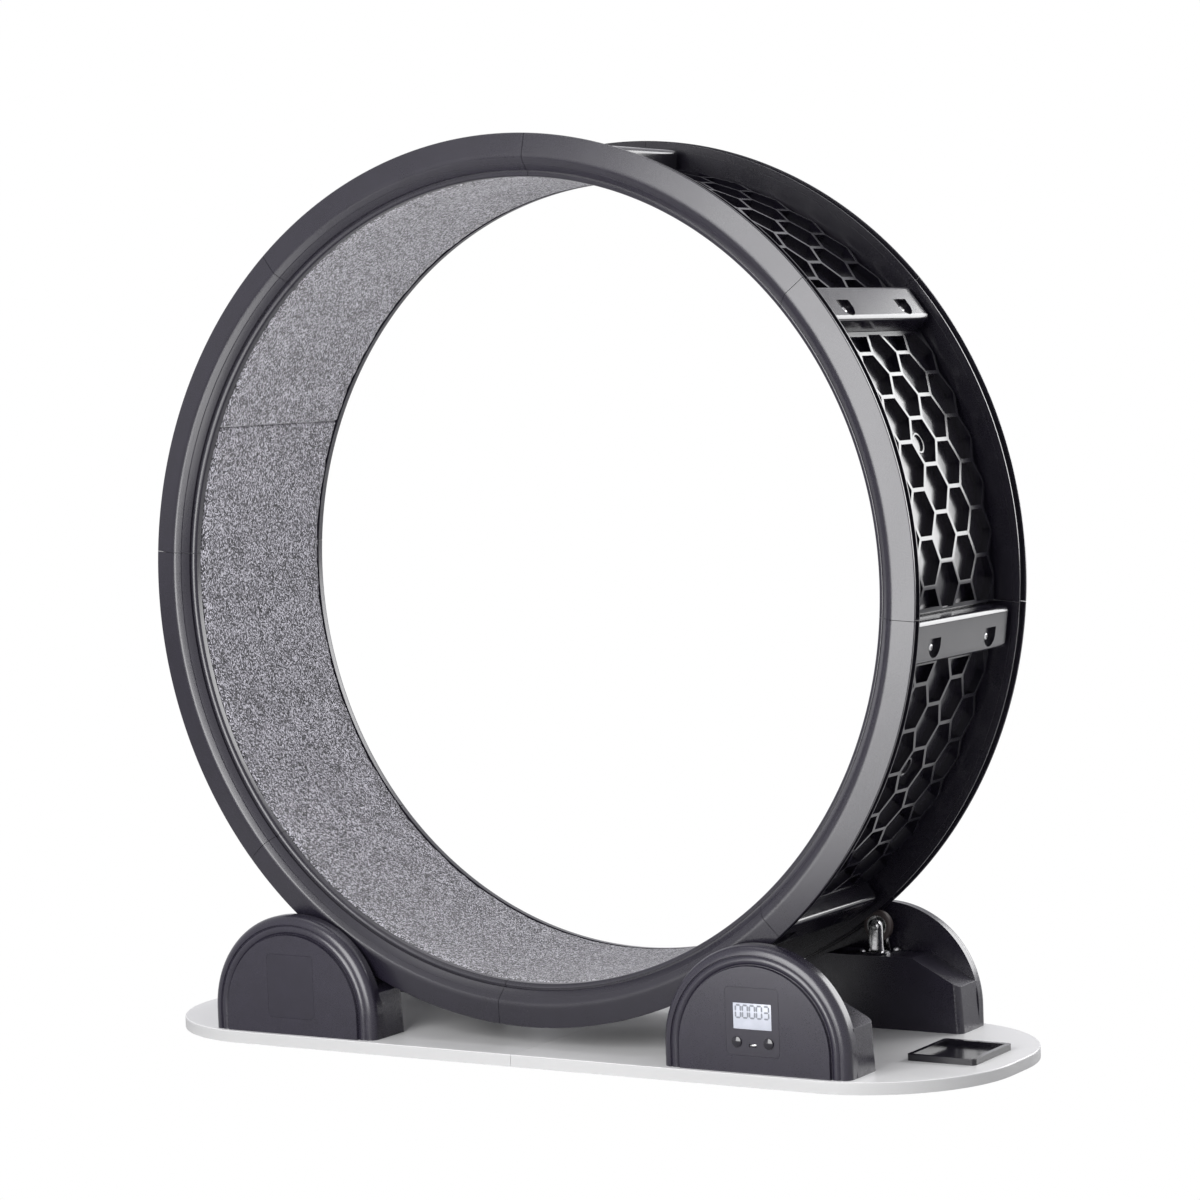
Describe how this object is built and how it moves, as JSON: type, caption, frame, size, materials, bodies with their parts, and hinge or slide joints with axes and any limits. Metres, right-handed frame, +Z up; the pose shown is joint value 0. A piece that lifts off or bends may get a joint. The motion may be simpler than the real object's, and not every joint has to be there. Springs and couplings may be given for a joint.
{
  "type": "cat exercise wheel",
  "caption": "Upright running wheel for cats on a long flat base, carried by rollers in arched stands, with a carpeted tread and a display meter",
  "frame": {"origin": "middle of the underside of the base board", "axes": "X along the base board, Y from the front with the meter to the rear and along the wheel's axle line, Z up"},
  "size_m": [1.08, 0.358, 1.0375],
  "materials": {
    "tread_plastic": "glossy black moulding",
    "rim_plastic": "satin charcoal moulding",
    "carpet": "heather grey looped pile",
    "bright_steel": "turned steel",
    "plated_steel": "zinc plated sheet",
    "roller_rubber": "dark rubber",
    "stand_plastic": "satin black moulding",
    "cover_plastic": "smooth black panel",
    "button_plastic": "glossy black caps",
    "display": "grey green liquid crystal display",
    "circuit": "green board",
    "base_board": "pale laminate",
    "tray_plastic": "glossy black"
  },
  "bodies": {
    "base": {"caster_fork_1": "plated_steel", "caster_fork_2": "plated_steel", "caster_fork_3": "plated_steel", "caster_fork_4": "plated_steel", "axle_pins": "bright_steel", "stand_front_right": "stand_plastic", "stand_front_left": "stand_plastic", "stand_rear_right": "stand_plastic", "stand_rear_left": "stand_plastic", "blank_cover_front_left": "cover_plastic", "blank_cover_rear_right": "cover_plastic", "blank_cover_rear_left": "cover_plastic", "meter_panel": "cover_plastic", "lcd_screen": "display", "meter_circuit_board": "circuit", "meter_battery": "bright_steel", "usb_socket": "bright_steel", "wheel_sensor": "circuit", "board_right": "base_board", "board_left": "base_board", "board_joining_plate": "plated_steel", "accessory_tray": "tray_plastic"},
    "wheel": {"deck_panel_1": "tread_plastic", "deck_panel_2": "tread_plastic", "deck_panel_3": "tread_plastic", "deck_panel_4": "tread_plastic", "deck_panel_5": "tread_plastic", "deck_panel_6": "tread_plastic", "deck_panel_7": "tread_plastic", "deck_panel_8": "tread_plastic", "front_rim_1": "rim_plastic", "rear_rim_1": "rim_plastic", "front_rim_2": "rim_plastic", "rear_rim_2": "rim_plastic", "front_rim_3": "rim_plastic", "rear_rim_3": "rim_plastic", "front_rim_4": "rim_plastic", "rear_rim_4": "rim_plastic", "front_rim_5": "rim_plastic", "rear_rim_5": "rim_plastic", "front_rim_6": "rim_plastic", "rear_rim_6": "rim_plastic", "front_rim_7": "rim_plastic", "rear_rim_7": "rim_plastic", "front_rim_8": "rim_plastic", "rear_rim_8": "rim_plastic", "carpet_half_1": "carpet", "carpet_half_2": "carpet", "wheel_magnet": "bright_steel"},
    "roller_1": {"roller_hub_1": "bright_steel", "roller_tyre_1": "roller_rubber"},
    "roller_2": {"roller_hub_2": "bright_steel", "roller_tyre_2": "roller_rubber"},
    "roller_3": {"roller_hub_3": "bright_steel", "roller_tyre_3": "roller_rubber"},
    "roller_4": {"roller_hub_4": "bright_steel", "roller_tyre_4": "roller_rubber"},
    "button_left": {"meter_button_left": "button_plastic"},
    "button_right": {"meter_button_right": "button_plastic"}
  },
  "joints": [
    {"name": "wheel_spin", "type": "hinge", "parent": "base", "child": "wheel", "pos_m": [0, 0, 0.5375], "axis": [0, 1, 0], "continuous": true},
    {"name": "roller_spin_1", "type": "hinge", "parent": "base", "child": "roller_1", "pos_m": [0.3064, -0.13175, 0.12705], "axis": [0, 1, 0], "continuous": true},
    {"name": "roller_spin_2", "type": "hinge", "parent": "base", "child": "roller_2", "pos_m": [-0.3064, -0.13175, 0.12705], "axis": [0, 1, 0], "continuous": true},
    {"name": "roller_spin_3", "type": "hinge", "parent": "base", "child": "roller_3", "pos_m": [0.3064, 0.13175, 0.12705], "axis": [0, 1, 0], "continuous": true},
    {"name": "roller_spin_4", "type": "hinge", "parent": "base", "child": "roller_4", "pos_m": [-0.3064, 0.13175, 0.12705], "axis": [0, 1, 0], "continuous": true},
    {"name": "button_press_left", "type": "slide", "parent": "base", "child": "button_left", "axis": [0, 1, 0], "range_m": [0, 0.0012], "stiffness_N_per_m": 800},
    {"name": "button_press_right", "type": "slide", "parent": "base", "child": "button_right", "axis": [0, 1, 0], "range_m": [0, 0.0012], "stiffness_N_per_m": 800}
  ],
  "couplings": [
    {"joint": "roller_spin_1", "follows": "wheel_spin", "ratio": -28.257},
    {"joint": "roller_spin_2", "follows": "wheel_spin", "ratio": -28.257},
    {"joint": "roller_spin_3", "follows": "wheel_spin", "ratio": -28.257},
    {"joint": "roller_spin_4", "follows": "wheel_spin", "ratio": -28.257}
  ]
}
